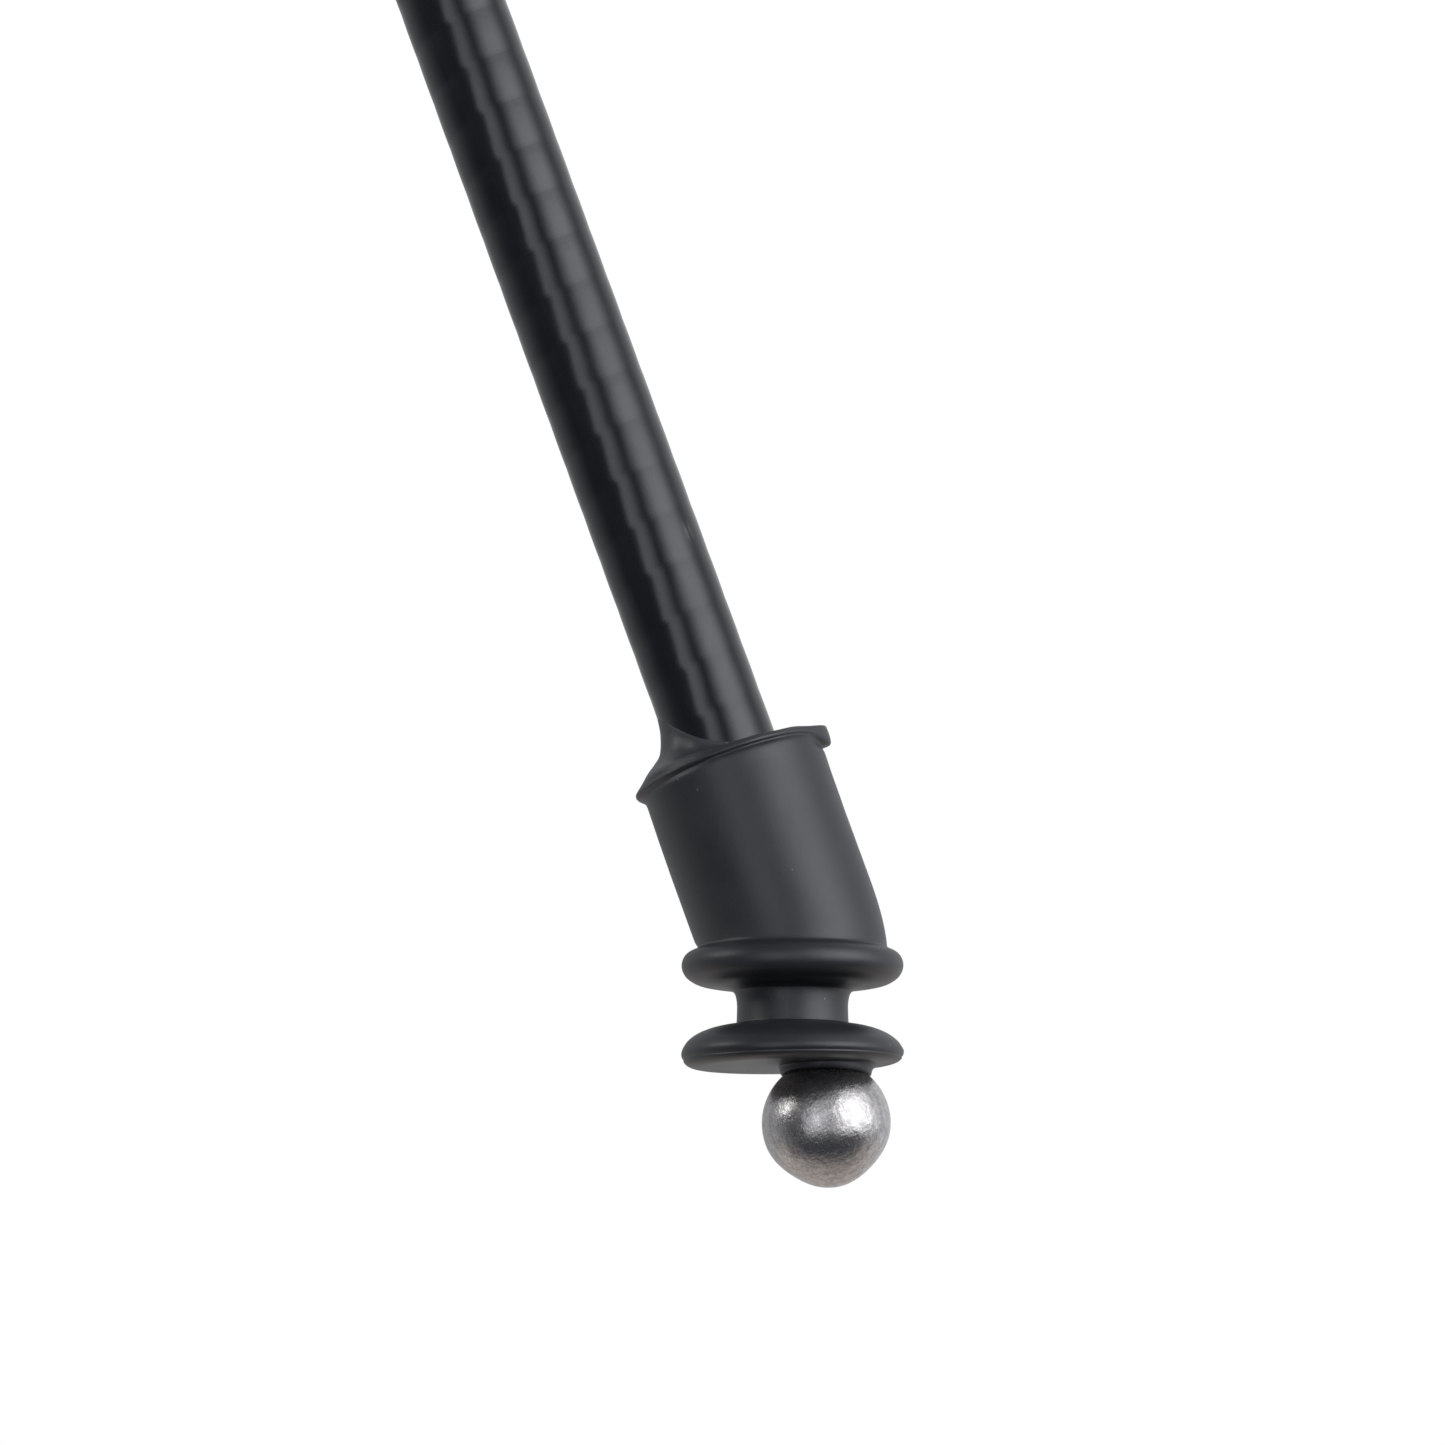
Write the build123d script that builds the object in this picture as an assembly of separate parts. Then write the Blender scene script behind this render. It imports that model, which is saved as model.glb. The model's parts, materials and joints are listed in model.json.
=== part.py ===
from build123d import *
import math
import os

# A telescoping long cane: three wound carbon tubes, twist locks where they nest, a hand grip,
# and a rubber tip with a flexible neck that carries a steel ball.
#
# Millimetres. The shaft runs along +Z, grip end up. The origin is the middle of the hand grip,
# on the shaft's axis. The tip leans away from the shaft towards -X, in the XZ plane.

# --- Tubes -----------------------------------------------------------------------------------
LOWER_OD, LOWER_ID = 12.7, 10.7
MIDDLE_OD, MIDDLE_ID = 15.5, 13.5
UPPER_OD, UPPER_ID = 18.3, 16.3
LOWER_LENGTH, MIDDLE_LENGTH, UPPER_LENGTH = 400.0, 440.0, 440.0
OVERLAP = 70.0  # how far each tube reaches up into the next one, fully extended

# --- Grip and end cap ------------------------------------------------------------------------
GRIP_LENGTH = 230.0
GRIP_OD = 27.0
GRIP_EDGE = 3.0  # rounding at the grip's two ends
RING_HEIGHT, RING_OD = 6.0, 23.0
CAP_HEIGHT, CAP_OD = 14.0, 26.0
CAP_SPIGOT = 14.0  # how deep the cap's spigot goes into the upper tube
LOOP_HOLE_R = 2.5

# --- Heights of the tubes' ends, from the grip's middle down ----------------------------------
UPPER_TOP = GRIP_LENGTH / 2
UPPER_BOTTOM = UPPER_TOP - UPPER_LENGTH
MIDDLE_TOP = UPPER_BOTTOM + OVERLAP
MIDDLE_BOTTOM = MIDDLE_TOP - MIDDLE_LENGTH
LOWER_TOP = MIDDLE_BOTTOM + OVERLAP
LOWER_BOTTOM = LOWER_TOP - LOWER_LENGTH

# --- Joint collars and wiper rings --------------------------------------------------------------
COLLAR_WALL = 2.0
COLLAR_BELOW, COLLAR_ABOVE = 7.0, 21.0  # reach below and above the outer tube's lower end
COLLAR_LIP = 3.0  # thickness of the floor that holds the wiper ring
LIP_GAP = 0.35  # between that floor and the sliding tube
WIPER_GAP = 0.05

# --- Twist locks, heights above the inner tube's top --------------------------------------------
SPINDLE_DEPTH, SHOULDER = 25.0, 2.0
ROD_R = 2.5
PLUG_FOOT, PLUG_LENGTH, PLUG_FLOOR = 2.3, 18.0, 3.0
PLUG_GAP = 0.05  # running fit in the outer tube
CAVITY_R_LOW, CAVITY_R_TOP = 3.3, 5.2
SLOT_COUNT, SLOT_WIDTH = 3, 1.6
CONE_FOOT, CONE_LENGTH = 7.0, 13.5
CONE_GAP = 0.12  # between the cone and the plug's tapered cavity
KEY_WIDTH = 1.0
ROD_TOP = 25.0
SCREW_WASHER_R, SCREW_WASHER = 4.2, 1.0
SCREW_HEAD_R, SCREW_HEAD = 2.8, 2.5
SCREW_SHANK_R, SCREW_SHANK = 1.5, 10.0

# --- Rubber tip --------------------------------------------------------------------------------
LEAN = 19.8  # degrees between the shaft and the tip's flanges
BOOT_R, RIM_R, COLLAR_R = 11.15, 12.2, 7.6
RIM_HEIGHT = 17.15  # of the boot's rim above the tube's lower end
RIM_LIP = 1.3
COLLAR_RISE = 8.0  # of the collar's top edge above the rim
WASHER, BOOT_FLOOR = 1.2, 1.4
BEND_REACH = 2.4  # the bend's length each side of where the shaft's axis meets the flanges' axis
FLANGE_R, FLANGE_EDGE = 13.15, 1.6
UPPER_FLANGE_AT = 3.6  # distances from that meeting point, down the flanges' axis
NECK_R, NECK_FROM, NECK_TO = 6.6, 6.9, 10.3
FOOT_EDGE_AT, FOOT_FLOOR_AT = 14.1, 15.8
ANCHOR_R, ANCHOR_FROM, ANCHOR = 8.0, 12.2, 1.4
BALL_R = 7.67
BALL_X, BALL_BELOW = -3.94, 22.7  # the ball's centre, from the axes' meeting point
STUD_R = 2.5
SEAT_R, SEAT_TO = 5.5, 17.0  # the rubber collar that stands round the top of the ball
WEAR_LEAN = 12.0  # degrees between the shaft and the axis that the ball has worn round
WEAR_AT, WEAR_DEPTH = 40.0, 0.33  # the worn cone: degrees from that axis, and depth

MEETING = Vector(0, 0, LOWER_BOTTOM - WASHER - BOOT_FLOOR - BEND_REACH)
BALL_CENTRE = MEETING + Vector(BALL_X, 0, -BALL_BELOW)
# The flanges' own frame: origin where the two axes meet, local +Z down the flanges' axis.
TIP_AXIS = Vector(-math.sin(math.radians(LEAN)), 0, -math.cos(math.radians(LEAN)))
TIP_PLANE = Plane(origin=MEETING, x_dir=(math.cos(math.radians(LEAN)), 0, -math.sin(math.radians(LEAN))),
                  z_dir=TIP_AXIS)


def save(name, shape):
    """Write one piece as its own STEP file."""
    solids = shape.solids()
    body = solids[0] if len(solids) == 1 else Compound(children=list(solids))
    export_step(body, f"parts/{name}.step")


def rod(radius, bottom, top):
    """A cylinder on the shaft's axis between two heights."""
    return Pos(0, 0, (bottom + top) / 2) * Cylinder(radius, top - bottom)


def tube(outer, inner, bottom, top):
    """A round tube on the shaft's axis, given its two radii."""
    return rod(outer, bottom, top) - rod(inner, bottom - 1, top + 1)


def turned(points):
    """A solid of revolution about Z from a closed outline of (radius, height) points."""
    outline = Polyline([(r, 0, z) for r, z in points], close=True)
    return revolve(make_face(outline), axis=Axis.Z)


def outer_edges(shape, radius):
    """The circular edges of a turned piece that have the given radius."""
    return shape.edges().filter_by(GeomType.CIRCLE).filter_by(lambda e: abs(e.radius - radius) < 1e-3)


# --- The three sections -------------------------------------------------------------------------

def make_tubes():
    save("lower_tube", tube(LOWER_OD / 2, LOWER_ID / 2, LOWER_BOTTOM, LOWER_TOP))
    save("middle_tube", tube(MIDDLE_OD / 2, MIDDLE_ID / 2, MIDDLE_BOTTOM, MIDDLE_TOP))
    save("upper_tube", tube(UPPER_OD / 2, UPPER_ID / 2, UPPER_BOTTOM, UPPER_TOP))


def make_collar(name, tube_bottom, outer_od, inner_od):
    """The ferrule on an outer tube's lower end, and the wiper ring that it holds."""
    outer_r, inner_r = outer_od / 2, inner_od / 2
    low, high = tube_bottom - COLLAR_BELOW, tube_bottom + COLLAR_ABOVE
    floor = low + COLLAR_LIP
    collar = tube(outer_r + COLLAR_WALL, outer_r, floor, high)
    collar += tube(outer_r + COLLAR_WALL, inner_r + LIP_GAP, low, floor)
    collar = chamfer(outer_edges(collar, outer_r + COLLAR_WALL), 1.0)
    save(f"{name}_collar", collar)
    save(f"{name}_wiper", tube(outer_r, inner_r + WIPER_GAP, floor, tube_bottom))


def make_lock(name, tube_top, inner_od, inner_id, outer_id):
    """The twist lock on an inner tube's top: spindle, split plug, cone and screw."""
    rod_top = tube_top + ROD_TOP
    shank_foot = rod_top - SCREW_SHANK
    spindle = rod(inner_id / 2, tube_top - SPINDLE_DEPTH, tube_top)
    spindle += rod(inner_od / 2 - 0.2, tube_top, tube_top + SHOULDER)
    spindle += rod(ROD_R, tube_top, rod_top)
    save(f"{name}_spindle", spindle - rod(SCREW_SHANK_R, shank_foot, rod_top + 1))

    screw = rod(SCREW_SHANK_R, shank_foot, rod_top + 0.5)
    screw += rod(SCREW_WASHER_R, rod_top, rod_top + SCREW_WASHER)
    screw += rod(SCREW_HEAD_R, rod_top + SCREW_WASHER, rod_top + SCREW_WASHER + SCREW_HEAD)
    save(f"{name}_screw", screw)

    plug_r = outer_id / 2 - PLUG_GAP
    low, floor, high = (tube_top + h for h in (PLUG_FOOT, PLUG_FOOT + PLUG_FLOOR, PLUG_FOOT + PLUG_LENGTH))
    rise = high - floor
    plug = rod(plug_r, low, high) - rod(ROD_R + 0.08, low - 1, high)
    plug -= turned([(0, floor), (CAVITY_R_LOW, floor), (CAVITY_R_TOP, high), (CAVITY_R_TOP, high + 1),
                    (0, high + 1)])
    plug = chamfer(outer_edges(plug, plug_r), 0.6)
    slot = Pos(plug_r / 2 + 1, 0, (floor + high) / 2 + 0.5) * Box(plug_r + 2, SLOT_WIDTH, rise + 1)
    key_reach = plug_r - 1.0
    key = Pos(key_reach / 2, 0, tube_top + CONE_FOOT + CONE_LENGTH - 3) * Box(key_reach, KEY_WIDTH, 6)
    for k in range(SLOT_COUNT):
        plug -= Rot(0, 0, 360 / SLOT_COUNT * k) * slot
    save(f"{name}_plug", plug)

    foot, crown = tube_top + CONE_FOOT, tube_top + CONE_FOOT + CONE_LENGTH
    slope = (CAVITY_R_TOP - CAVITY_R_LOW) / rise
    cone = turned([(0, foot), (CAVITY_R_LOW + slope * (foot - floor) - CONE_GAP, foot),
                   (CAVITY_R_LOW + slope * (crown - floor) - CONE_GAP, crown), (0, crown)])
    for k in range(SLOT_COUNT):
        cone += Rot(0, 0, 360 / SLOT_COUNT * k) * key
    save(f"{name}_cone", cone - rod(ROD_R + 0.08, foot - 1, crown + 1))


# --- Grip end ------------------------------------------------------------------------------------

def make_grip():
    low, high = UPPER_TOP - GRIP_LENGTH, UPPER_TOP
    grip = fillet(outer_edges(rod(GRIP_OD / 2, low, high), GRIP_OD / 2), GRIP_EDGE)
    save("grip", grip - rod(UPPER_OD / 2, low - 1, high + 1))
    ring = tube(RING_OD / 2, UPPER_OD / 2, low - RING_HEIGHT, low)
    save("grip_ring", chamfer(outer_edges(ring, RING_OD / 2).sort_by(Axis.Z)[0], 1.5))


def make_end_cap():
    top = UPPER_TOP + CAP_HEIGHT
    cap = fillet(outer_edges(rod(CAP_OD / 2, UPPER_TOP, top), CAP_OD / 2).sort_by(Axis.Z)[-1], 5.0)
    cap += rod(UPPER_ID / 2, UPPER_TOP - CAP_SPIGOT, UPPER_TOP)
    hole = Pos(0, 0, UPPER_TOP + CAP_HEIGHT / 2 - 1) * Rot(90, 0, 0) * Cylinder(LOOP_HOLE_R, CAP_OD + 2)
    save("end_cap", cap - hole)


# --- Tip -----------------------------------------------------------------------------------------

def on_tip(shape):
    """Place a piece that was drawn with +Z down the flanges' axis."""
    return TIP_PLANE.location * shape


def make_boot():
    """The sleeve on the shaft with its collar and rim, the bend, and the upper flange."""
    rim = LOWER_BOTTOM + RIM_HEIGHT
    bend_top = MEETING.Z + BEND_REACH
    shaft_r = LOWER_OD / 2
    sleeve = turned([
        (0, bend_top), (BOOT_R, bend_top), (BOOT_R, rim - RIM_LIP), (RIM_R, rim - 0.4), (RIM_R, rim),
        (COLLAR_R + 1.0, rim + 2.0), (COLLAR_R, rim + 3.2), (COLLAR_R, rim + COLLAR_RISE - 2.5),
        (shaft_r + 0.2, rim + COLLAR_RISE), (0, rim + COLLAR_RISE),
    ])
    bend_end = MEETING + TIP_AXIS * BEND_REACH
    start = Vector(0, 0, bend_top)
    path = TangentArc([start, bend_end], tangent=(0, 0, -1))
    bend = sweep(Plane(origin=start, z_dir=(0, 0, -1)) * Circle(BOOT_R), path=path)
    flange = Pos(0, 0, UPPER_FLANGE_AT) * Cylinder(FLANGE_R, 2 * FLANGE_EDGE)
    flange = fillet(outer_edges(flange, FLANGE_R), FLANGE_EDGE - 0.05)
    under = UPPER_FLANGE_AT + FLANGE_EDGE
    flange += turned([(0, under - 1.0), (FLANGE_R - 0.8, under - 1.0), (FLANGE_R - 0.8, under),
                      (FLANGE_R - 2.4, under + 1.0), (NECK_R, NECK_FROM), (0, NECK_FROM)])
    boot = sleeve + bend + on_tip(flange)
    save("boot", boot - rod(shaft_r, LOWER_BOTTOM - WASHER, rim + COLLAR_RISE + 1))
    save("boot_washer", rod(shaft_r, LOWER_BOTTOM - WASHER, LOWER_BOTTOM))
    save("tube_end_plug", rod(LOWER_ID / 2, LOWER_BOTTOM, LOWER_BOTTOM + 15))


def make_neck():
    save("neck", on_tip(Pos(0, 0, (NECK_FROM + NECK_TO) / 2) * Cylinder(NECK_R, NECK_TO - NECK_FROM)))


def anchor():
    """The steel plate in the foot and the stud that reaches into the ball."""
    plate = on_tip(Pos(0, 0, ANCHOR_FROM + ANCHOR / 2) * Cylinder(ANCHOR_R, ANCHOR))
    root = MEETING + TIP_AXIS * (ANCHOR_FROM + ANCHOR / 2)
    reach = BALL_CENTRE - root
    stud = Plane(origin=root + reach / 2, z_dir=reach.normalized()).location * Cylinder(STUD_R, reach.length)
    return plate + stud


def ball():
    """The steel ball, its lower half worn to a blunt cone by sliding on the ground."""
    axis = Vector(-math.sin(math.radians(WEAR_LEAN)), 0, -math.cos(math.radians(WEAR_LEAN)))
    apex = (BALL_R - WEAR_DEPTH) / math.cos(math.radians(WEAR_AT))
    height = apex + 2 * BALL_R
    worn = Plane(origin=BALL_CENTRE + axis * (apex - height / 2), z_dir=axis).location * Cone(
        height * math.tan(math.radians(90 - WEAR_AT)), 0, height)
    return Pos(*BALL_CENTRE) * Sphere(BALL_R) & worn


def make_foot():
    """The lower flange with its domed top, its anchor, and the ball seated in its floor."""
    dome_edge = FOOT_EDGE_AT - FLANGE_EDGE
    foot = Pos(0, 0, (dome_edge + FOOT_FLOOR_AT) / 2) * Cylinder(FLANGE_R, FOOT_FLOOR_AT - dome_edge)
    foot = fillet(outer_edges(foot, FLANGE_R), FLANGE_EDGE - 0.05)
    foot += turned([(0, NECK_TO), (NECK_R, NECK_TO), (FLANGE_R - 3.5, dome_edge - 0.9),
                    (FLANGE_R - 1.6, dome_edge), (FLANGE_R - 1.6, dome_edge + 1), (0, dome_edge + 1)])
    seat_x = TIP_PLANE.to_local_coords(BALL_CENTRE).X
    foot += Pos(seat_x, 0, SEAT_TO - 1.0) * Cylinder(SEAT_R, 2.0)
    plate = anchor()
    round_ball = Pos(*BALL_CENTRE) * Sphere(BALL_R)
    save("foot", on_tip(foot) - round_ball - plate)
    save("ball_anchor", plate)
    save("ball", ball() - plate)


os.makedirs("parts", exist_ok=True)
make_tubes()
make_collar("lower", MIDDLE_BOTTOM, MIDDLE_OD, LOWER_OD)
make_collar("upper", UPPER_BOTTOM, UPPER_OD, MIDDLE_OD)
make_lock("lower_lock", LOWER_TOP, LOWER_OD, LOWER_ID, MIDDLE_ID)
make_lock("upper_lock", MIDDLE_TOP, MIDDLE_OD, MIDDLE_ID, UPPER_ID)
make_grip()
make_end_cap()
make_boot()
make_neck()
make_foot()
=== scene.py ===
import json
import math

import bmesh
import bpy
from mathutils import Matrix, Vector, noise


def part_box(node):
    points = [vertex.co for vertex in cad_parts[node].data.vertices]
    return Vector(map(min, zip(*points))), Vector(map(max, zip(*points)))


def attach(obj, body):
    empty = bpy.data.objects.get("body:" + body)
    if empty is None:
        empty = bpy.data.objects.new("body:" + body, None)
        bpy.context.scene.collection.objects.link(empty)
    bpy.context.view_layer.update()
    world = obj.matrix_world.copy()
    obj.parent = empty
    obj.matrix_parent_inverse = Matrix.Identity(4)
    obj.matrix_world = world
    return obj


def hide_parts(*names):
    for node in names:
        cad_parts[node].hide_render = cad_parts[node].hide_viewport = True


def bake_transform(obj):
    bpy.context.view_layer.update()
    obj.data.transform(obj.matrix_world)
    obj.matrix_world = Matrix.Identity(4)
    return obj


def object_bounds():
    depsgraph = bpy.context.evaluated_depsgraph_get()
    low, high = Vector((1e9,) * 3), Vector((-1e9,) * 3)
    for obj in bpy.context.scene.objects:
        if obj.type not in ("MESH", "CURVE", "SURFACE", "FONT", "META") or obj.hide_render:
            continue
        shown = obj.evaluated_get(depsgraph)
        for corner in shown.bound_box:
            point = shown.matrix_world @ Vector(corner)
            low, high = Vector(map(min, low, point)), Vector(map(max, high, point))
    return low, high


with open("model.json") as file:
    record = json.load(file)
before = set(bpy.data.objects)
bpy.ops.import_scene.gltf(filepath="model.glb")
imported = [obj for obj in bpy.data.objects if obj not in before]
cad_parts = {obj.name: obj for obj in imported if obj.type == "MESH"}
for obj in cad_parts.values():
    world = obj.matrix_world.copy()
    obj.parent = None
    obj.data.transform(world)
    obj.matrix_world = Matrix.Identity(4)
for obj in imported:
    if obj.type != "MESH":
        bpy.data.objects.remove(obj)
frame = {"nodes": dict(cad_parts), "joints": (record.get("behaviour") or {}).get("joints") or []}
CAD_BOX = [list(corner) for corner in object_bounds()]

MM = 0.001

# --- Places and sizes read from the frame -------------------------------------------------------

joints = {joint["name"]: joint for joint in frame["joints"]}


def radius_of(node):
    """The outer radius of a round CAD node that stands on the shaft's axis."""
    return max(math.hypot(vert.co.x, vert.co.y) for vert in frame["nodes"][node].data.vertices)


def ends_of(node):
    low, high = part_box(node)
    return low[2], high[2]


NECK_CENTRE = Vector(joints["neck_side_flex"]["pos_m"])
ACROSS = Vector(joints["neck_front_flex"]["axis"])
TIP_DOWN = Vector((ACROSS.z, 0, -ACROSS.x))  # down the flanges' axis, away from the shaft
MEETING_Z = NECK_CENTRE.z - TIP_DOWN.z * NECK_CENTRE.x / TIP_DOWN.x  # where that axis meets the shaft's
NECK_AT = NECK_CENTRE.x / TIP_DOWN.x / MM  # the neck's middle, in mm down the flanges' axis
SHAFT_R = radius_of("lower_tube")
BLISTER_TURN = math.radians(-39.5)  # a blister under the lacquer, turned from the right to the front
BLISTER_Z = MEETING_Z + 49.8 * MM
BALL_LOW, BALL_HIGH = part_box("ball")
BALL_R = (BALL_HIGH[0] - BALL_LOW[0]) / 2
BALL_CENTRE = Vector((BALL_LOW[0] + BALL_R, 0, BALL_LOW[2] + BALL_R))

# --- The tape that the tubes are wound from -----------------------------------------------------

WRAP_PITCH = 6.1 * MM
WRAP_FROM = ends_of("lower_tube")[0]  # one edge of the tape passes here, on the right
WRAP_SWELL = 0.035 * MM  # how far each turn of tape stands proud in its outline
TAPE_SWELL = 0.07 * MM  # and how much more in its shading
WRAP_ROWS = 6  # mesh rows across one turn of tape
TUBE_WALL = 1.0 * MM

# --- The tip's own sizes, in mm -----------------------------------------------------------------

BOOT_R = 11.15
RIM_AT = -22.15  # places along the tip run down from the meeting point, so the boot's are negative
BORE_FLOOR = -5.0
FRONT_LOW = 0.035  # the flanges hang a little low at the front, by this share of the distance out
CREASE_AT = 1.45  # where the boot's wall meets the upper flange


# --- Mesh building ------------------------------------------------------------------------------

def smooth_line(points, steps=4):
    """A line through the given points, rounded between them. A point given twice stays a corner."""
    line = []
    last = len(points) - 1
    for k in range(last):
        before, after = points[max(k - 1, 0)], points[min(k + 2, last)]
        start, end = points[k], points[k + 1]
        if start == end:
            continue
        for step in range(steps):
            t = step / steps
            line.append(tuple(
                0.5 * (2 * b + (c - a) * t + (2 * a - 5 * b + 4 * c - d) * t * t
                       + (3 * b - a - 3 * c + d) * t ** 3)
                for a, b, c, d in zip(before, start, end, after)))
    line.append(tuple(points[-1]))
    return line


def new_piece(name, mesh_data, material, body=None, node=None, crease=35):
    """Makes a smooth-shaded object from a bmesh and says where it belongs."""
    bmesh.ops.recalc_face_normals(mesh_data, faces=mesh_data.faces)
    mesh = bpy.data.meshes.new(name)
    mesh_data.to_mesh(mesh)
    mesh_data.free()
    mesh.polygons.foreach_set("use_smooth", [True] * len(mesh.polygons))
    mesh.set_sharp_from_angle(angle=math.radians(crease))
    mesh.materials.append(material)
    piece = bpy.data.objects.new(name, mesh)
    bpy.context.scene.collection.objects.link(piece)
    if body:
        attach(piece, body)
    if node:
        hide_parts(node)
    return piece


def skin(column, around=128):
    """A closed skin. column(a) gives the points met at angle a, from one pole to the other."""
    made = bmesh.new()
    columns = []
    for j in range(around):
        points = column(2 * math.pi * j / around)
        if j == 0:
            poles = [made.verts.new(points[0]), made.verts.new(points[-1])]
        columns.append([made.verts.new(point) for point in points[1:-1]])
    for j in range(around):
        here, there = columns[j], columns[(j + 1) % around]
        for k in range(len(here) - 1):
            made.faces.new((here[k], here[k + 1], there[k + 1], there[k]))
        made.faces.new((poles[0], here[0], there[0]))
        made.faces.new((there[-1], here[-1], poles[1]))
    return made


def sleeve(loop, around=128):
    """A closed skin with a hole through it. loop(a) gives a closed loop of points at angle a."""
    made = bmesh.new()
    columns = [[made.verts.new(point) for point in loop(2 * math.pi * j / around)] for j in range(around)]
    for here, there in zip(columns, columns[1:] + columns[:1]):
        for k in range(len(here)):
            made.faces.new((here[k - 1], here[k], there[k], there[k - 1]))
    return made


def on_shaft(r, a, z):
    """A point round the shaft's axis, all in metres."""
    return Vector((r * math.cos(a), r * math.sin(a), z))


def above_bend(r, a, drop):
    """A point round the shaft's axis, `drop` mm below the meeting point."""
    return Vector((r * math.cos(a) * MM, r * math.sin(a) * MM, MEETING_Z - drop * MM))


def below_bend(r, a, drop):
    """A point round the flanges' axis, `drop` mm below the meeting point."""
    return Vector((0, 0, MEETING_Z)) + (
        TIP_DOWN * drop + (ACROSS * math.cos(a) + Vector((0, 1, 0)) * math.sin(a)) * r) * MM


def wobble(point, size, scale):
    """A small seeded unevenness, in the units of `size`; scale is in bumps per metre."""
    return size * noise.noise(Vector(point) * scale)


# --- Material building --------------------------------------------------------------------------

class Shader:
    """A Principled material with short calls for its procedural nodes."""

    def __init__(self, name, colour, roughness, metallic=0.0, **sockets):
        self.material = bpy.data.materials.new(name)
        self.material.use_nodes = True
        self.tree = self.material.node_tree
        self.bsdf = self.tree.nodes["Principled BSDF"]
        self.bsdf.inputs["Base Color"].default_value = (*colour, 1)
        self.bsdf.inputs["Roughness"].default_value = roughness
        self.bsdf.inputs["Metallic"].default_value = metallic
        for socket, value in sockets.items():
            self.bsdf.inputs[socket.replace("_", " ")].default_value = value
        self.coords = self.tree.nodes.new("ShaderNodeTexCoord").outputs["Object"]
        self.normal = None

    def place(self):
        """The x, y and z of the point being shaded, in metres."""
        made = self.node("SeparateXYZ")
        self.link(self.coords, made.inputs["Vector"])
        return made.outputs

    def node(self, kind, **settings):
        made = self.tree.nodes.new("ShaderNode" + kind)
        for key, value in settings.items():
            setattr(made, key, value)
        return made

    def link(self, source, target):
        self.tree.links.new(source, target)

    def stretched(self, scale, turn=(0, 0, 0)):
        """Coordinates scaled by three factors, for grain that runs one way."""
        mapping = self.node("Mapping")
        self.link(self.coords, mapping.inputs["Vector"])
        mapping.inputs["Scale"].default_value = scale
        mapping.inputs["Rotation"].default_value = turn
        return mapping.outputs["Vector"]

    def noise(self, scale, detail=3.0, roughness=0.5, vector=None):
        made = self.node("TexNoise")
        self.link(vector or self.coords, made.inputs["Vector"])
        made.inputs["Scale"].default_value = scale
        made.inputs["Detail"].default_value = detail
        made.inputs["Roughness"].default_value = roughness
        return made.outputs["Fac"]

    def cells(self, scale, feature="F1", vector=None):
        made = self.node("TexVoronoi", feature=feature)
        self.link(vector or self.coords, made.inputs["Vector"])
        made.inputs["Scale"].default_value = scale
        return made.outputs["Distance"]

    def ramp(self, value, start, end, low=0.0, high=1.0):
        made = self.node("MapRange")
        self.link(value, made.inputs["Value"])
        for key, number in (("From Min", start), ("From Max", end), ("To Min", low), ("To Max", high)):
            made.inputs[key].default_value = number
        return made.outputs["Result"]

    def math(self, operation, first, second=0.0):
        made = self.node("Math", operation=operation)
        for socket, value in zip(made.inputs, (first, second)):
            if isinstance(value, (int, float)):
                socket.default_value = value
            else:
                self.link(value, socket)
        return made.outputs["Value"]

    def mix(self, factor, first, second):
        """A colour between two, each a tuple or another node's colour."""
        made = self.node("Mix", data_type="RGBA")
        self.link(factor, made.inputs["Factor"])
        for socket, value in ((made.inputs[6], first), (made.inputs[7], second)):
            if isinstance(value, tuple):
                socket.default_value = (*value, 1)
            else:
                self.link(value, socket)
        return made.outputs[2]

    def colour(self, value):
        self.link(value, self.bsdf.inputs["Base Color"])
        return self

    def rough(self, value):
        self.link(value, self.bsdf.inputs["Roughness"])
        return self

    def bump(self, height, depth, strength=1.0):
        """Adds a bump layer; depth is in metres."""
        made = self.node("Bump")
        made.inputs["Strength"].default_value = strength
        made.inputs["Distance"].default_value = depth
        self.link(height, made.inputs["Height"])
        if self.normal:
            self.link(self.normal, made.inputs["Normal"])
        self.normal = made.outputs["Normal"]
        self.link(self.normal, self.bsdf.inputs["Normal"])
        return self


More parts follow.
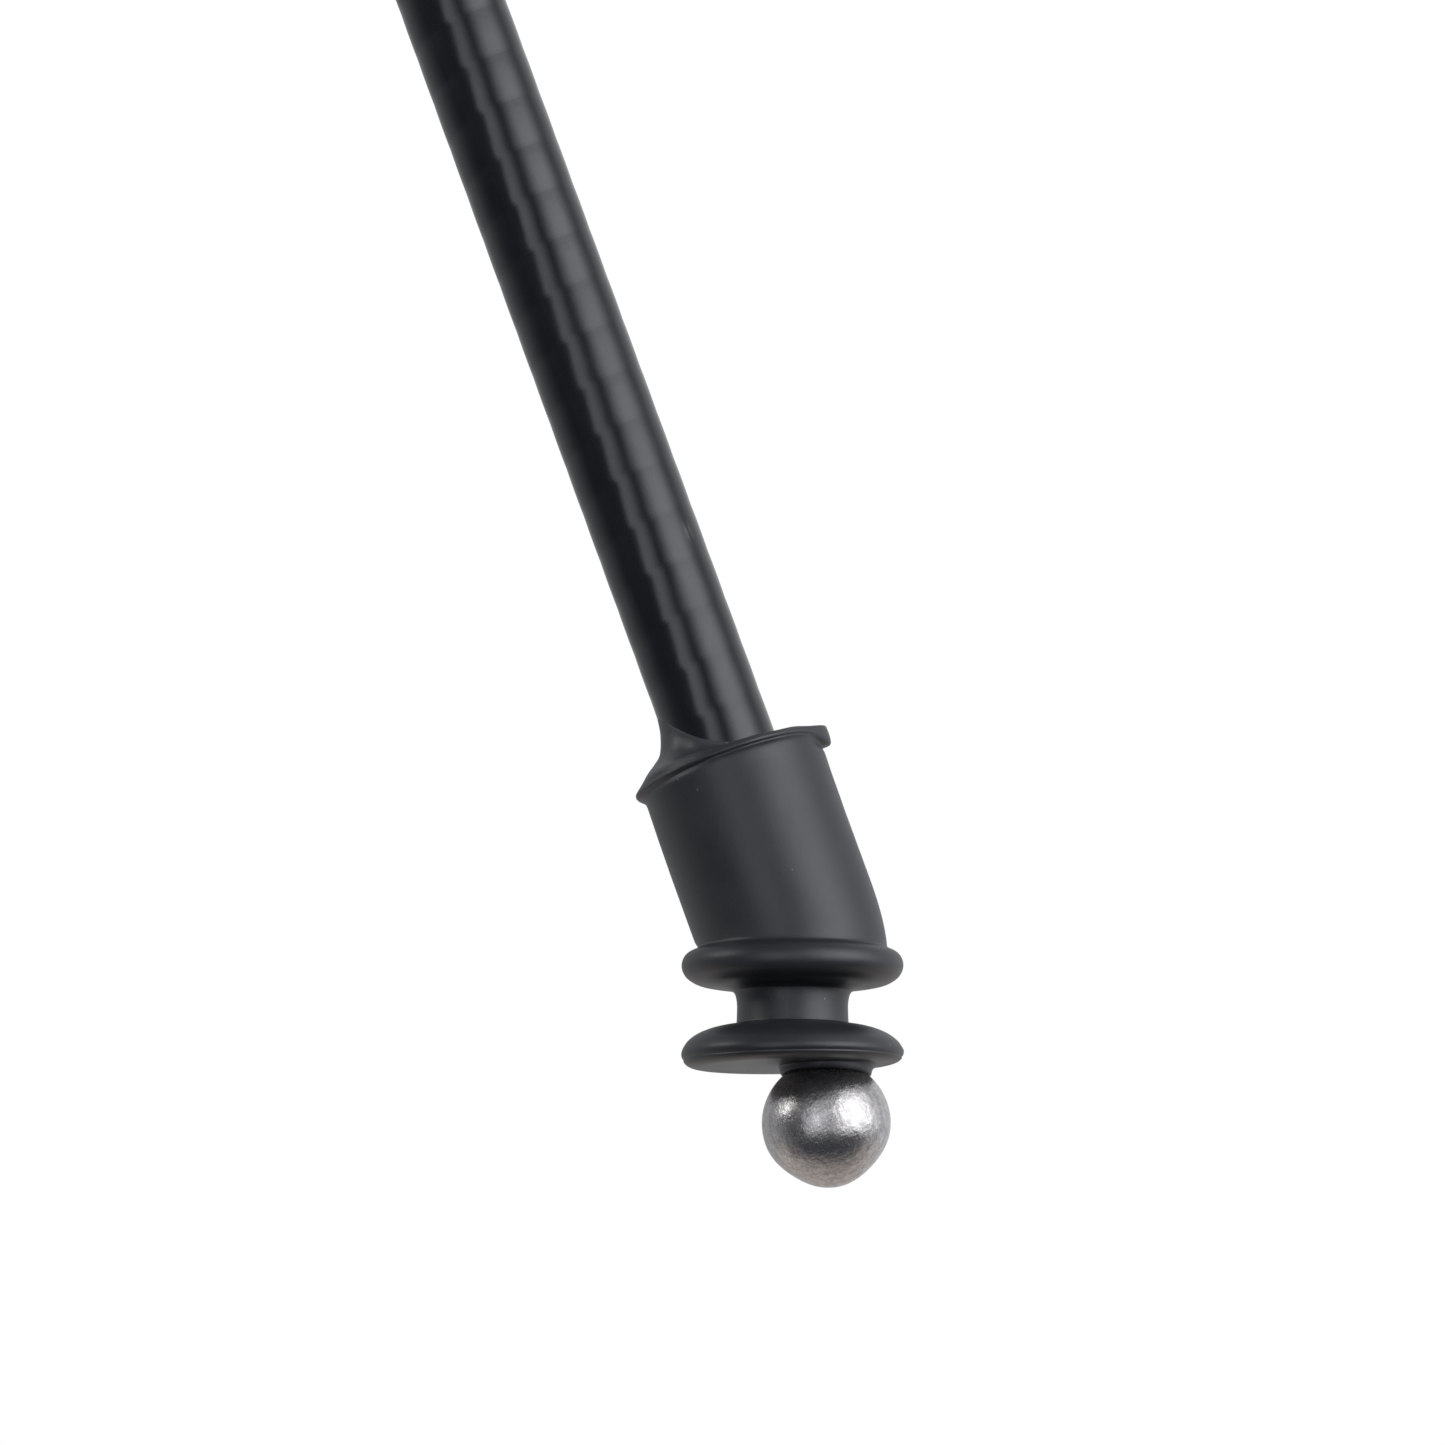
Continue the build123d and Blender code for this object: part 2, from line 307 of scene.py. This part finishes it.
def lacquered_carbon():
    """Black gloss lacquer over wound tape. Each turn of tape swells a little, and is flat where two
    turns meet. There are faint fibres under the gloss, and one blister near the tip."""
    made = Shader("lacquered_carbon", (0.010, 0.011, 0.014), 0.2)
    x, y, z = made.place()
    turn = made.math("ARCTAN2", y, x)
    turns_up = made.math("DIVIDE", made.math("SUBTRACT", z, WRAP_FROM), WRAP_PITCH)
    phase = made.math("FRACT", made.math("SUBTRACT", turns_up, made.math("DIVIDE", turn, 2 * math.pi)))
    off_middle = made.math("MINIMUM", made.math("ABSOLUTE", made.math("SUBTRACT", phase, 0.5)), 0.465)
    swell = made.math("MULTIPLY", made.math("POWER", off_middle, 2.0), -4 * TAPE_SWELL)
    round_it = made.math("MULTIPLY", made.math("SUBTRACT", turn, BLISTER_TURN), SHAFT_R / (0.45 * MM))
    along_it = made.math("DIVIDE", made.math("SUBTRACT", z, BLISTER_Z), 1.1 * MM)
    reach = made.math("ADD", made.math("MULTIPLY", round_it, round_it),
                      made.math("MULTIPLY", along_it, along_it))
    blister = made.math("MULTIPLY", made.math("EXPONENT", made.math("MULTIPLY", reach, -1.0)), 0.09 * MM)
    height = made.math("ADD", swell, blister)
    fibres = made.noise(900, 4, 0.6, made.stretched((1, 1, 0.06), (0.12, 0, 0)))
    made.colour(made.mix(made.ramp(fibres, 0.35, 0.75), (0.0100, 0.0110, 0.0150), (0.0155, 0.0165, 0.0215)))
    smears = made.noise(120, 5, 0.65)
    made.rough(made.ramp(smears, 0.3, 0.75, 0.17, 0.25))
    made.bump(height, 1.0)  # the height is in metres already
    return made.bump(made.noise(700, 2), 0.000012).material


def boot_rubber():
    """Satin moulded rubber: fine grain, soft patches of lighter and darker tone, painted light over the
    collar (a paler colour above the boot's rim, in soft patches), and a little pale dust."""
    made = Shader("boot_rubber", (0.024, 0.025, 0.029), 0.45, Specular_IOR_Level=0.62)
    patches = made.noise(160, 4, 0.6)
    body = made.mix(made.ramp(patches, 0.3, 0.75), (0.0205, 0.0215, 0.0260), (0.0275, 0.0290, 0.0345))
    # painted light: a paler colour over the collar above the boot's rim, in soft noisy patches
    collar = made.ramp(made.place()[2], MEETING_Z + 22.0 * MM, MEETING_Z + 22.6 * MM, 0.0, 0.6)
    painted_collar_light = made.math("MULTIPLY", collar, made.ramp(made.noise(420, 5, 0.65), 0.35, 0.65, 0.4, 1.0))
    body = made.mix(painted_collar_light, body, (0.062, 0.062, 0.067))
    dust = made.ramp(made.cells(330), 0.042, 0.028)
    made.colour(made.mix(dust, body, (0.16, 0.16, 0.17)))
    grain = made.noise(5200, 3, 0.6)
    made.rough(made.ramp(patches, 0.3, 0.75, 0.42, 0.49))
    return made.bump(grain, 0.00002, 0.8).bump(patches, 0.00004, 0.5).material


def worn_steel():
    """Bare steel worn by the ground: a peened, speckled skin with fine crossed scratches and darker
    pits."""
    made = Shader("worn_steel", (0.60, 0.58, 0.57), 0.36, metallic=0.92)
    along = made.noise(1500, 5, 0.7, made.stretched((1, 1, 0.10), (0.35, 0.2, 0)))
    across = made.noise(1300, 5, 0.7, made.stretched((0.12, 1, 1), (0, 0.4, 0.7)))
    scratches = made.math("MULTIPLY", along, across)
    peened = made.cells(1500, "SMOOTH_F1")
    speckle = made.noise(3200, 4, 0.7)
    pits = made.ramp(made.noise(1900, 4, 0.75), 0.60, 0.68)
    polished = made.ramp(speckle, 0.58, 0.70)
    body = made.mix(made.ramp(scratches, 0.12, 0.42), (0.34, 0.33, 0.325), (0.62, 0.60, 0.595))
    body = made.mix(polished, body, (0.84, 0.82, 0.80))
    made.colour(made.mix(pits, body, (0.22, 0.212, 0.21)))
    rough = made.ramp(scratches, 0.1, 0.45, 0.31, 0.20)
    made.rough(made.math("SUBTRACT", rough, made.math("MULTIPLY", polished, 0.10)))
    return made.bump(peened, 0.00005, 0.5).bump(speckle, 0.00005, 0.8).bump(scratches, 0.00007, 0.9).material


def moulded_plastic(name, colour, grain=2600):
    made = Shader(name, colour, 0.45)
    shade = made.noise(grain, 3, 0.6)
    darker = tuple(c * 0.8 for c in colour)
    made.colour(made.mix(made.ramp(made.noise(90, 3), 0.3, 0.7), darker, colour))
    made.rough(made.ramp(shade, 0.3, 0.7, 0.4, 0.52))
    return made.bump(shade, 0.00003, 0.5).material


def grip_rubber():
    made = Shader("grip_rubber", (0.017, 0.017, 0.019), 0.6)
    grain = made.noise(3000, 4, 0.65)
    wear = made.noise(25, 4, 0.6)
    made.colour(made.mix(made.ramp(wear, 0.35, 0.7), (0.013, 0.013, 0.015), (0.028, 0.028, 0.030)))
    made.rough(made.ramp(wear, 0.35, 0.7, 0.66, 0.5))
    return made.bump(grain, 0.00005, 0.7).material


def turned_metal(name, colour, roughness):
    """Lathe-turned metal with fine rings round the shaft's axis."""
    made = Shader(name, colour, roughness, metallic=1.0)
    rings = made.noise(1200, 3, 0.6, made.stretched((0.02, 0.02, 3)))
    made.rough(made.ramp(rings, 0.3, 0.7, roughness * 0.8, roughness * 1.3))
    darker = tuple(c * 0.82 for c in colour)
    made.colour(made.mix(made.ramp(made.noise(140, 3), 0.3, 0.7), darker, colour))
    return made.bump(rings, 0.00002, 0.5).material


CARBON = lacquered_carbon()
BOOT = boot_rubber()
STEEL = worn_steel()
BLACK_PLASTIC = moulded_plastic("black_plastic", (0.02, 0.02, 0.022))
NYLON = moulded_plastic("natural_nylon", (0.36, 0.37, 0.38))
GRIP = grip_rubber()
ZINC = turned_metal("zinc_steel", (0.62, 0.62, 0.63), 0.3)
ALUMINIUM = turned_metal("turned_aluminium", (0.75, 0.75, 0.77), 0.28)
ANODISED = turned_metal("black_anodised", (0.05, 0.05, 0.055), 0.35)
WIPER = moulded_plastic("wiper_rubber", (0.03, 0.03, 0.032), 4000)


# --- Camera, lights and surroundings ------------------------------------------------------------

LOOK_UP = math.radians(10.5)
ROLL = math.radians(20.1)
DISTANCE = 0.75
WIDTH_SEEN = 0.1737
AIM = Vector((0.86 * MM, 0, BALL_CENTRE.z + 49.8 * MM))

FORWARD = Vector((0, math.cos(LOOK_UP), math.sin(LOOK_UP)))
LEVEL_RIGHT = Vector((1, 0, 0))
LEVEL_UP = LEVEL_RIGHT.cross(FORWARD)
RIGHT = LEVEL_RIGHT * math.cos(ROLL) - LEVEL_UP * math.sin(ROLL)
UP = LEVEL_RIGHT * math.sin(ROLL) + LEVEL_UP * math.cos(ROLL)


def facing(position, forward, up):
    """A matrix at `position` that looks along `forward`."""
    right = forward.cross(up).normalized()
    true_up = right.cross(forward)
    turn = Matrix((right, true_up, -forward)).transposed()
    return Matrix.Translation(position) @ turn.to_4x4()


def make_camera():
    data = bpy.data.cameras.new("camera")
    data.sensor_width = 36
    data.lens = data.sensor_width * DISTANCE / WIDTH_SEEN
    data.clip_start, data.clip_end = 0.01, 50
    camera = bpy.data.objects.new("camera", data)
    camera.matrix_world = facing(AIM - FORWARD * DISTANCE, FORWARD, UP)
    bpy.context.scene.collection.objects.link(camera)
    bpy.context.scene.camera = camera


def softbox(name, round_right, elevation, distance, width, height, brightness, colour=(1, 1, 1)):
    """A rectangular light that faces the tip. Its place is the angle from the camera's own direction
    round to the right, and the height above it, as the photographer's studio stands."""
    turn, rise = math.radians(round_right), math.radians(elevation)
    way = (RIGHT * math.sin(turn) - FORWARD * math.cos(turn)) * math.cos(rise) + UP * math.sin(rise)
    data = bpy.data.lights.new(name, "AREA")
    data.shape = "RECTANGLE"
    data.size, data.size_y = width, height
    data.energy = brightness * math.pi * width * height
    data.color = colour
    light = bpy.data.objects.new(name, data)
    light.matrix_world = facing(AIM + way * distance, -way, UP)
    light.visible_camera = False
    bpy.context.scene.collection.objects.link(light)


def make_lights():
    softbox("left_lamp", -86, 26, 1.3, 0.40, 0.36, 6.5)
    softbox("top_fill", 40, 72, 1.4, 0.5, 0.5, 0.5)


def make_world():
    """The studio, as the object mirrors it: a broad soft key on the right, a narrow strip just left of
    the camera, a dark room in front, darker still low down, and pale paper behind and below. The camera
    sees plain white."""
    world = bpy.data.worlds.new("studio")
    world.use_nodes = True
    bpy.context.scene.world = world
    tree = world.node_tree
    nodes, links = tree.nodes, tree.links
    way = nodes.new("ShaderNodeTexCoord").outputs["Generated"]

    def plug(made, values):
        for socket, value in values:
            if isinstance(value, (int, float, tuple)):
                made.inputs[socket].default_value = value
            else:
                links.new(value, made.inputs[socket])
        return made

    def part(axis):
        made = nodes.new("ShaderNodeVectorMath")
        made.operation = "DOT_PRODUCT"
        return plug(made, ((0, way), (1, tuple(axis)))).outputs["Value"]

    def sum_of(operation, first, second=0.0):
        made = nodes.new("ShaderNodeMath")
        made.operation = operation
        return plug(made, ((0, first), (1, second))).outputs["Value"]

    def rise(value, start, end):
        made = nodes.new("ShaderNodeMapRange")
        made.interpolation_type = "SMOOTHSTEP"
        return plug(made, (("Value", value), ("From Min", start), ("From Max", end))).outputs["Result"]

    def window(value, start, full, falling, end):
        """1 between full and falling, 0 outside start and end."""
        return sum_of("SUBTRACT", rise(value, start, full), rise(value, falling, end))

    def mix(factor, first, second):
        made = nodes.new("ShaderNodeMix")
        made.data_type = "RGBA"
        return plug(made, (("Factor", factor), (6, first), (7, second))).outputs[2]

    across, up, away = part(RIGHT), part(UP), part(FORWARD)
    round_right = sum_of("MULTIPLY", sum_of("ARCTAN2", across, sum_of("MULTIPLY", away, -1.0)), 180 / math.pi)
    height = sum_of("MULTIPLY", sum_of("ARCSINE", up), 180 / math.pi)

    behind = mix(rise(across, -0.4, 0.4), (0.48, 0.49, 0.51, 1), (0.82, 0.83, 0.86, 1))
    behind = mix(rise(up, -0.25, -0.75), behind, (0.68, 0.62, 0.59, 1))
    turned = sum_of("SUBTRACT", away, sum_of("MULTIPLY", up, 0.25))
    room = mix(rise(turned, -0.3, 0.5), (0.105, 0.108, 0.118, 1), behind)
    below = sum_of("MULTIPLY", window(height, -74, -60, -40, -24), rise(away, 0.1, -0.3))
    room = mix(below, room, (0.050, 0.055, 0.070, 1))
    key = sum_of("MULTIPLY", window(round_right, 4, 46, 62, 112), window(height, -18, 4, 36, 58))
    strip = sum_of("MULTIPLY", window(round_right, -35, -26, -20, 8), window(height, -20, -6, 24, 48))
    room = mix(key, room, (3.40, 3.45, 3.62, 1))
    room = mix(strip, room, (1.72, 1.77, 1.88, 1))
    seen = nodes.new("ShaderNodeLightPath").outputs["Is Camera Ray"]
    links.new(mix(seen, room, (1.0, 1.0, 1.0, 1)), nodes["Background"].inputs["Color"])


def make_floor():
    """A plain pale floor, well below the cane, which is held in the air."""
    made = bmesh.new()
    bmesh.ops.create_grid(made, x_segments=8, y_segments=8, size=40)
    material = Shader("floor", (0.78, 0.78, 0.77), 0.7)
    material.colour(material.mix(material.noise(3, 4), (0.74, 0.74, 0.73), (0.82, 0.82, 0.81)))
    floor = new_piece("floor", made, material.material)
    floor.location.z = CAD_BOX[0][2] - 0.35
    floor.visible_glossy = False
    floor.visible_diffuse = False


# --- Shaft --------------------------------------------------------------------------------------

def wound_tube(name, body):
    """A tape-wound tube. The mesh's rows follow the tape's own helix."""
    outer = radius_of(name)
    bottom, top = ends_of(name)
    around = 120
    row = WRAP_PITCH / WRAP_ROWS
    made = bmesh.new()
    grid = []
    first = math.floor((bottom - WRAP_FROM) / row)
    for i in range(first - WRAP_ROWS, math.ceil((top - WRAP_FROM) / row) + 1):
        across = i % WRAP_ROWS / WRAP_ROWS
        swell = WRAP_SWELL * (0.5 - (2 * across - 1) ** 2)
        ring = []
        for j in range(around + 1):
            a = 2 * math.pi * j / around
            z = WRAP_FROM + i * row + WRAP_PITCH * j / around
            r = outer + swell if bottom < z < top else outer
            ring.append(made.verts.new(on_shaft(r, a, min(max(z, bottom), top))))
        grid.append(ring)
    for z in (top, bottom):
        turns = [2 * math.pi * j / around for j in range(around + 1)]
        grid.append([made.verts.new(on_shaft(outer - TUBE_WALL, a, z)) for a in turns])
    for low, high in zip(grid, grid[1:] + grid[:1]):
        for j in range(around):
            made.faces.new((low[j], low[j + 1], high[j + 1], high[j]))
    bmesh.ops.remove_doubles(made, verts=made.verts, dist=1e-7)
    new_piece(name + "_skin", made, CARBON, body, name, crease=30)


# --- Tip ----------------------------------------------------------------------------------------

def fold(degrees, centre, width):
    return math.exp(-(math.remainder(degrees - centre, 360) / width) ** 2)


def boot_column(a):
    """The boot from its bore up, over the collar, down the wall and round the upper flange."""
    degrees = math.degrees(math.remainder(a, 2 * math.pi))
    left = ((1 - math.cos(a)) / 2) ** 3  # the collar rides up the shaft on the left side only
    tear = fold(degrees, 0, 20)
    spread = abs(math.cos(a)) ** 14
    ragged = noise.noise(Vector((math.cos(a) * 3, math.sin(a) * 3, 4.0)))
    wrinkle = 0.16 * fold(degrees, -142, 8) - 0.1 * fold(degrees, -128, 7) + 0.15 * fold(degrees, -112, 9)
    rim_r = BOOT_R + 0.05 + 0.80 * spread + 0.40 * tear + 0.08 * ragged
    bore = SHAFT_R / MM + 0.01
    crest = RIM_AT - 0.75 - 7.2 * left
    upper = [(bore, crest), (bore, crest), (bore + 0.03, crest + 0.08),
             (bore + 0.08 + 0.25 * left + wrinkle * 0.3, crest + 0.3 + 1.6 * left),
             (bore + 0.25 + 0.95 * left + wrinkle, RIM_AT - 0.6 - 3.2 * left),
             (bore + 1.2 + 1.2 * left + wrinkle * 0.6, RIM_AT - 0.5 - 2.2 * left),
             (9.8, RIM_AT - 0.42 - 1.5 * left), (10.8, RIM_AT - 0.3 - 0.75 * left + 0.1 * ragged),
             (rim_r - 0.2, RIM_AT - 0.12 - 0.15 * left + 0.1 * ragged), (rim_r, RIM_AT + 0.12 + 0.1 * ragged),
             (rim_r - 0.05, RIM_AT + 0.4 + 1.1 * tear),
             (rim_r - 0.25 - 0.1 * tear, RIM_AT + 0.7 + 1.4 * tear),
             (BOOT_R + 0.03 - 0.15 * tear, RIM_AT + 1.3 + 0.9 * tear), (BOOT_R, RIM_AT + 2.8),
             (BOOT_R, RIM_AT + 5), (BOOT_R, -12)]
    lower = [(11.3, CREASE_AT), (11.42, 1.68), (11.72, 1.88), (12.25, 2.1), (12.72, 2.45), (13.04, 2.9),
             (13.22, 3.5), (13.2, 4.1), (12.98, 4.7), (12.5, 5.3), (11.45, 5.92), (10.1, 6.22), (8.6, 6.38),
             (7.65, 6.58), (7.18, 6.85)]
    askew = FRONT_LOW * math.sin(a)
    crease = below_bend(11.3, a, CREASE_AT - askew * 11.3)
    reach = 1 + 7.5 * (1 + math.cos(a)) / 2  # the wall bends over this length, longest on the right
    lean = Vector((-0.15 * MM, 0, 0))
    start = Vector((BOOT_R * MM * math.cos(a), BOOT_R * MM * math.sin(a), crease.z + reach * MM)) + lean
    turn = start - Vector((0, 0, 0.64 * reach * MM))
    wall = [start.lerp(turn, t).lerp(turn.lerp(crease, t), t) for t in (k / 12 for k in range(13))]
    points = [above_bend(0, a, BORE_FLOOR), above_bend(bore, a, BORE_FLOOR)]
    for r, drop in smooth_line(upper):
        uneven = wobble((math.cos(a) * 2, math.sin(a) * 2, drop * 0.2), 0.06, 1) if drop > RIM_AT + 2 else 0
        points.append(above_bend(r + uneven, a, drop) + lean * min(max((drop - RIM_AT - 3) / 7, 0), 1))
    points += wall + [below_bend(r, a, drop - askew * r) for r, drop in smooth_line(lower)[1:]]
    return points + [below_bend(0, a, 6.85)]


def make_boot():
    new_piece("boot_skin", skin(boot_column, around=192), BOOT, "lower_section", "boot",
              crease=50)


def make_neck():
    """The waist between the flanges, in two halves."""
    upper = [(0, 6.3), (7.1, 6.3)] + smooth_line([
        (7.1, 6.5), (7.1, 6.8), (6.86, 7.2), (6.72, 7.7), (6.65, 8.2), (6.62, NECK_AT)]) + [(0, NECK_AT)]
    lower = [(0, NECK_AT), (6.62, NECK_AT)] + smooth_line([
        (6.62, NECK_AT), (6.63, 9.3), (6.66, 10.2), (6.72, 11.0), (6.9, 11.6), (7.3, 12.0)]) + [(0, 12.0)]
    first = new_piece("neck_upper_half", skin(lambda a: [below_bend(r, a, k) for r, k in upper], 96), BOOT)
    second = new_piece("neck_lower_half", skin(lambda a: [below_bend(r, a, k) for r, k in lower], 96), BOOT)
    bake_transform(first)
    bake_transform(second)
    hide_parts("neck")


def make_foot():
    """The lower flange: a domed top, a parting groove round its edge, and a flat floor. It stands a little
    askew: its front hangs low, and so does the left side of its floor."""
    outline = [(0, 10.6), (6.5, 10.6)] + smooth_line([
        (6.5, 10.65), (6.9, 10.8), (7.6, 10.95), (8.7, 11.1), (10.2, 11.5), (11.6, 12.15), (12.6, 12.95),
        (13.12, 13.75), (13.25, 14.25), (13.16, 14.68), (13.0, 14.86), (13.0, 14.96), (12.98, 15.12),
        (12.65, 15.45), (12.1, 15.68), (11.5, 15.78), (10.8, 15.8), (9, 15.8)]) + [(0, 15.8)]

    def column(a):
        points = []
        for r, drop in outline:
            floor_share = min(max((drop - 13.5) / 2.4, 0), 1)
            uneven = wobble((math.cos(a) * 2, math.sin(a) * 2, drop), 0.05, 1) if r > 7 else 0
            askew = 0.024 * floor_share * math.cos(a) + FRONT_LOW * math.sin(a)
            points.append(below_bend(r + uneven, a, drop - askew * r))
        return points

    new_piece("foot_skin", skin(column, 160), BOOT, "foot_and_ball", "foot", crease=50)


def make_seat():
    """The foot's rubber collar round the top of the ball, flared where it leaves the floor."""
    offset = BALL_CENTRE - Vector((0, 0, MEETING_Z))
    aside = ACROSS * offset.dot(ACROSS)
    outline = [(0, 14.8), (6.1, 14.8)] + smooth_line([
        (6.1, 15.0), (6.05, 15.66), (5.75, 15.9), (5.55, 16.25), (5.45, 16.65), (5.35, 16.88), (5.0, 17.0),
        (4.6, 17.0)]) + [(0, 17.0)]

    def column(a):
        return [aside + below_bend(r + wobble((math.cos(a) * 2, math.sin(a) * 2, k), 0.08, 1) * (r > 0), a,
                                   k + 0.08 * r * math.sin(a)) for r, k in outline]

    seat = new_piece("ball_seat", skin(column, 96), BOOT, "foot_and_ball", crease=60)
    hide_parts("foot")


WEAR_AXIS = Vector((-math.sin(math.radians(12)), 0, -math.cos(math.radians(12))))


def make_ball():
    """The steel ball: worn towards a blunt cone, and dented all over."""
    made = bmesh.new()
    bmesh.ops.create_icosphere(made, subdivisions=6, radius=1)
    for vert in made.verts:
        way = vert.co.normalized()
        off_axis = math.degrees(way.angle(WEAR_AXIS))
        worn = 0.038 * math.exp(-((off_axis - 40) / 24) ** 2)
        dents = 0.004 * noise.noise(way * 7) + 0.0025 * noise.noise(way * 17)
        vert.co = BALL_CENTRE + way * BALL_R * (1 - worn + min(dents, 0))
    new_piece("ball_skin", made, STEEL, "foot_and_ball", "ball")


# --- Grip and joint collars ---------------------------------------------------------------------

def make_grip():
    """The moulded grip: rounded ends, and shallow rings round it for the hand."""
    bore, outer = radius_of("upper_tube"), radius_of("grip")
    low, high = ends_of("grip")
    edge, margin, ring, pitch = 3 * MM, 15 * MM, 0.35 * MM, 4.5 * MM
    corner = [(math.sin(math.radians(t)), math.cos(math.radians(t))) for t in range(0, 91, 15)]
    outline = [(bore, low)] + [(outer - edge + edge * x, low + edge - edge * y) for x, y in corner]
    steps = 8 * round((high - low - 2 * margin) / pitch)
    for k in range(steps + 1):
        share = abs((k % 8) / 4 - 1)  # 1 where a groove is deepest
        r = outer - ring * max(share - 0.4, 0) / 0.6
        outline.append((r, low + margin + k * (high - low - 2 * margin) / steps))
    outline += [(outer - edge + edge * x, high - edge + edge * y) for x, y in reversed(corner)]
    outline.append((bore, high))
    new_piece("grip_skin", sleeve(lambda a: [on_shaft(r, a, z) for r, z in outline], 96), GRIP,
              "upper_section", "grip", crease=50)


def make_collar(node, body, tube):
    """A moulded collar, with shallow flutes that give the fingers a hold when it is twisted."""
    low, high = ends_of(node)
    outer, inside = radius_of(node), radius_of(tube)
    lip = min(math.hypot(v.co.x, v.co.y) for v in frame["nodes"][node].data.vertices)
    floor = low + 3 * MM
    edge, flutes, depth = 1 * MM, 24, 0.4 * MM
    body_from, body_to = low + 3.5 * MM, high - 3.5 * MM

    def loop(a):
        groove = depth * max(math.cos(flutes * a), 0) ** 0.5
        wall = [(outer - edge, low), (outer, low + edge), (outer, body_from),
                (outer - groove, body_from + edge), (outer - groove, body_to - edge),
                (outer, body_to), (outer, high - edge), (outer - edge, high)]
        return [on_shaft(r, a, z) for r, z in
                [(inside, floor), (lip, floor), (lip, low)] + wall + [(inside, high)]]

    new_piece(node + "_skin", sleeve(loop, flutes * 10), BLACK_PLASTIC, body, node,
              crease=28)


# --- Everything ---------------------------------------------------------------------------------

def dress_cad_nodes():
    """Gives every CAD node that stays in view its own material."""
    materials = {
        "boot_washer": ZINC, "ball_anchor": ZINC, "lower_lock_screw": ZINC, "upper_lock_screw": ZINC,
        "tube_end_plug": NYLON, "lower_lock_plug": NYLON, "upper_lock_plug": NYLON,
        "lower_lock_spindle": ALUMINIUM, "upper_lock_spindle": ALUMINIUM,
        "lower_lock_cone": BLACK_PLASTIC, "upper_lock_cone": BLACK_PLASTIC,
        "lower_wiper": WIPER, "upper_wiper": WIPER,
        "end_cap": GRIP, "grip_ring": ANODISED,
    }
    for node, material in materials.items():
        slots = frame["nodes"][node].data.materials
        if len(slots):
            frame["nodes"][node].material_slots[0].material = material
        else:
            slots.append(material)


bpy.context.scene.view_settings.view_transform = "Standard"
make_camera()
make_lights()
make_world()
make_floor()
wound_tube("lower_tube", "lower_section")
wound_tube("middle_tube", "middle_section")
wound_tube("upper_tube", "upper_section")
make_boot()
make_neck()
make_foot()
make_seat()
make_ball()
make_grip()
make_collar("lower_collar", "middle_section", "middle_tube")
make_collar("upper_collar", "upper_section", "upper_tube")
dress_cad_nodes()
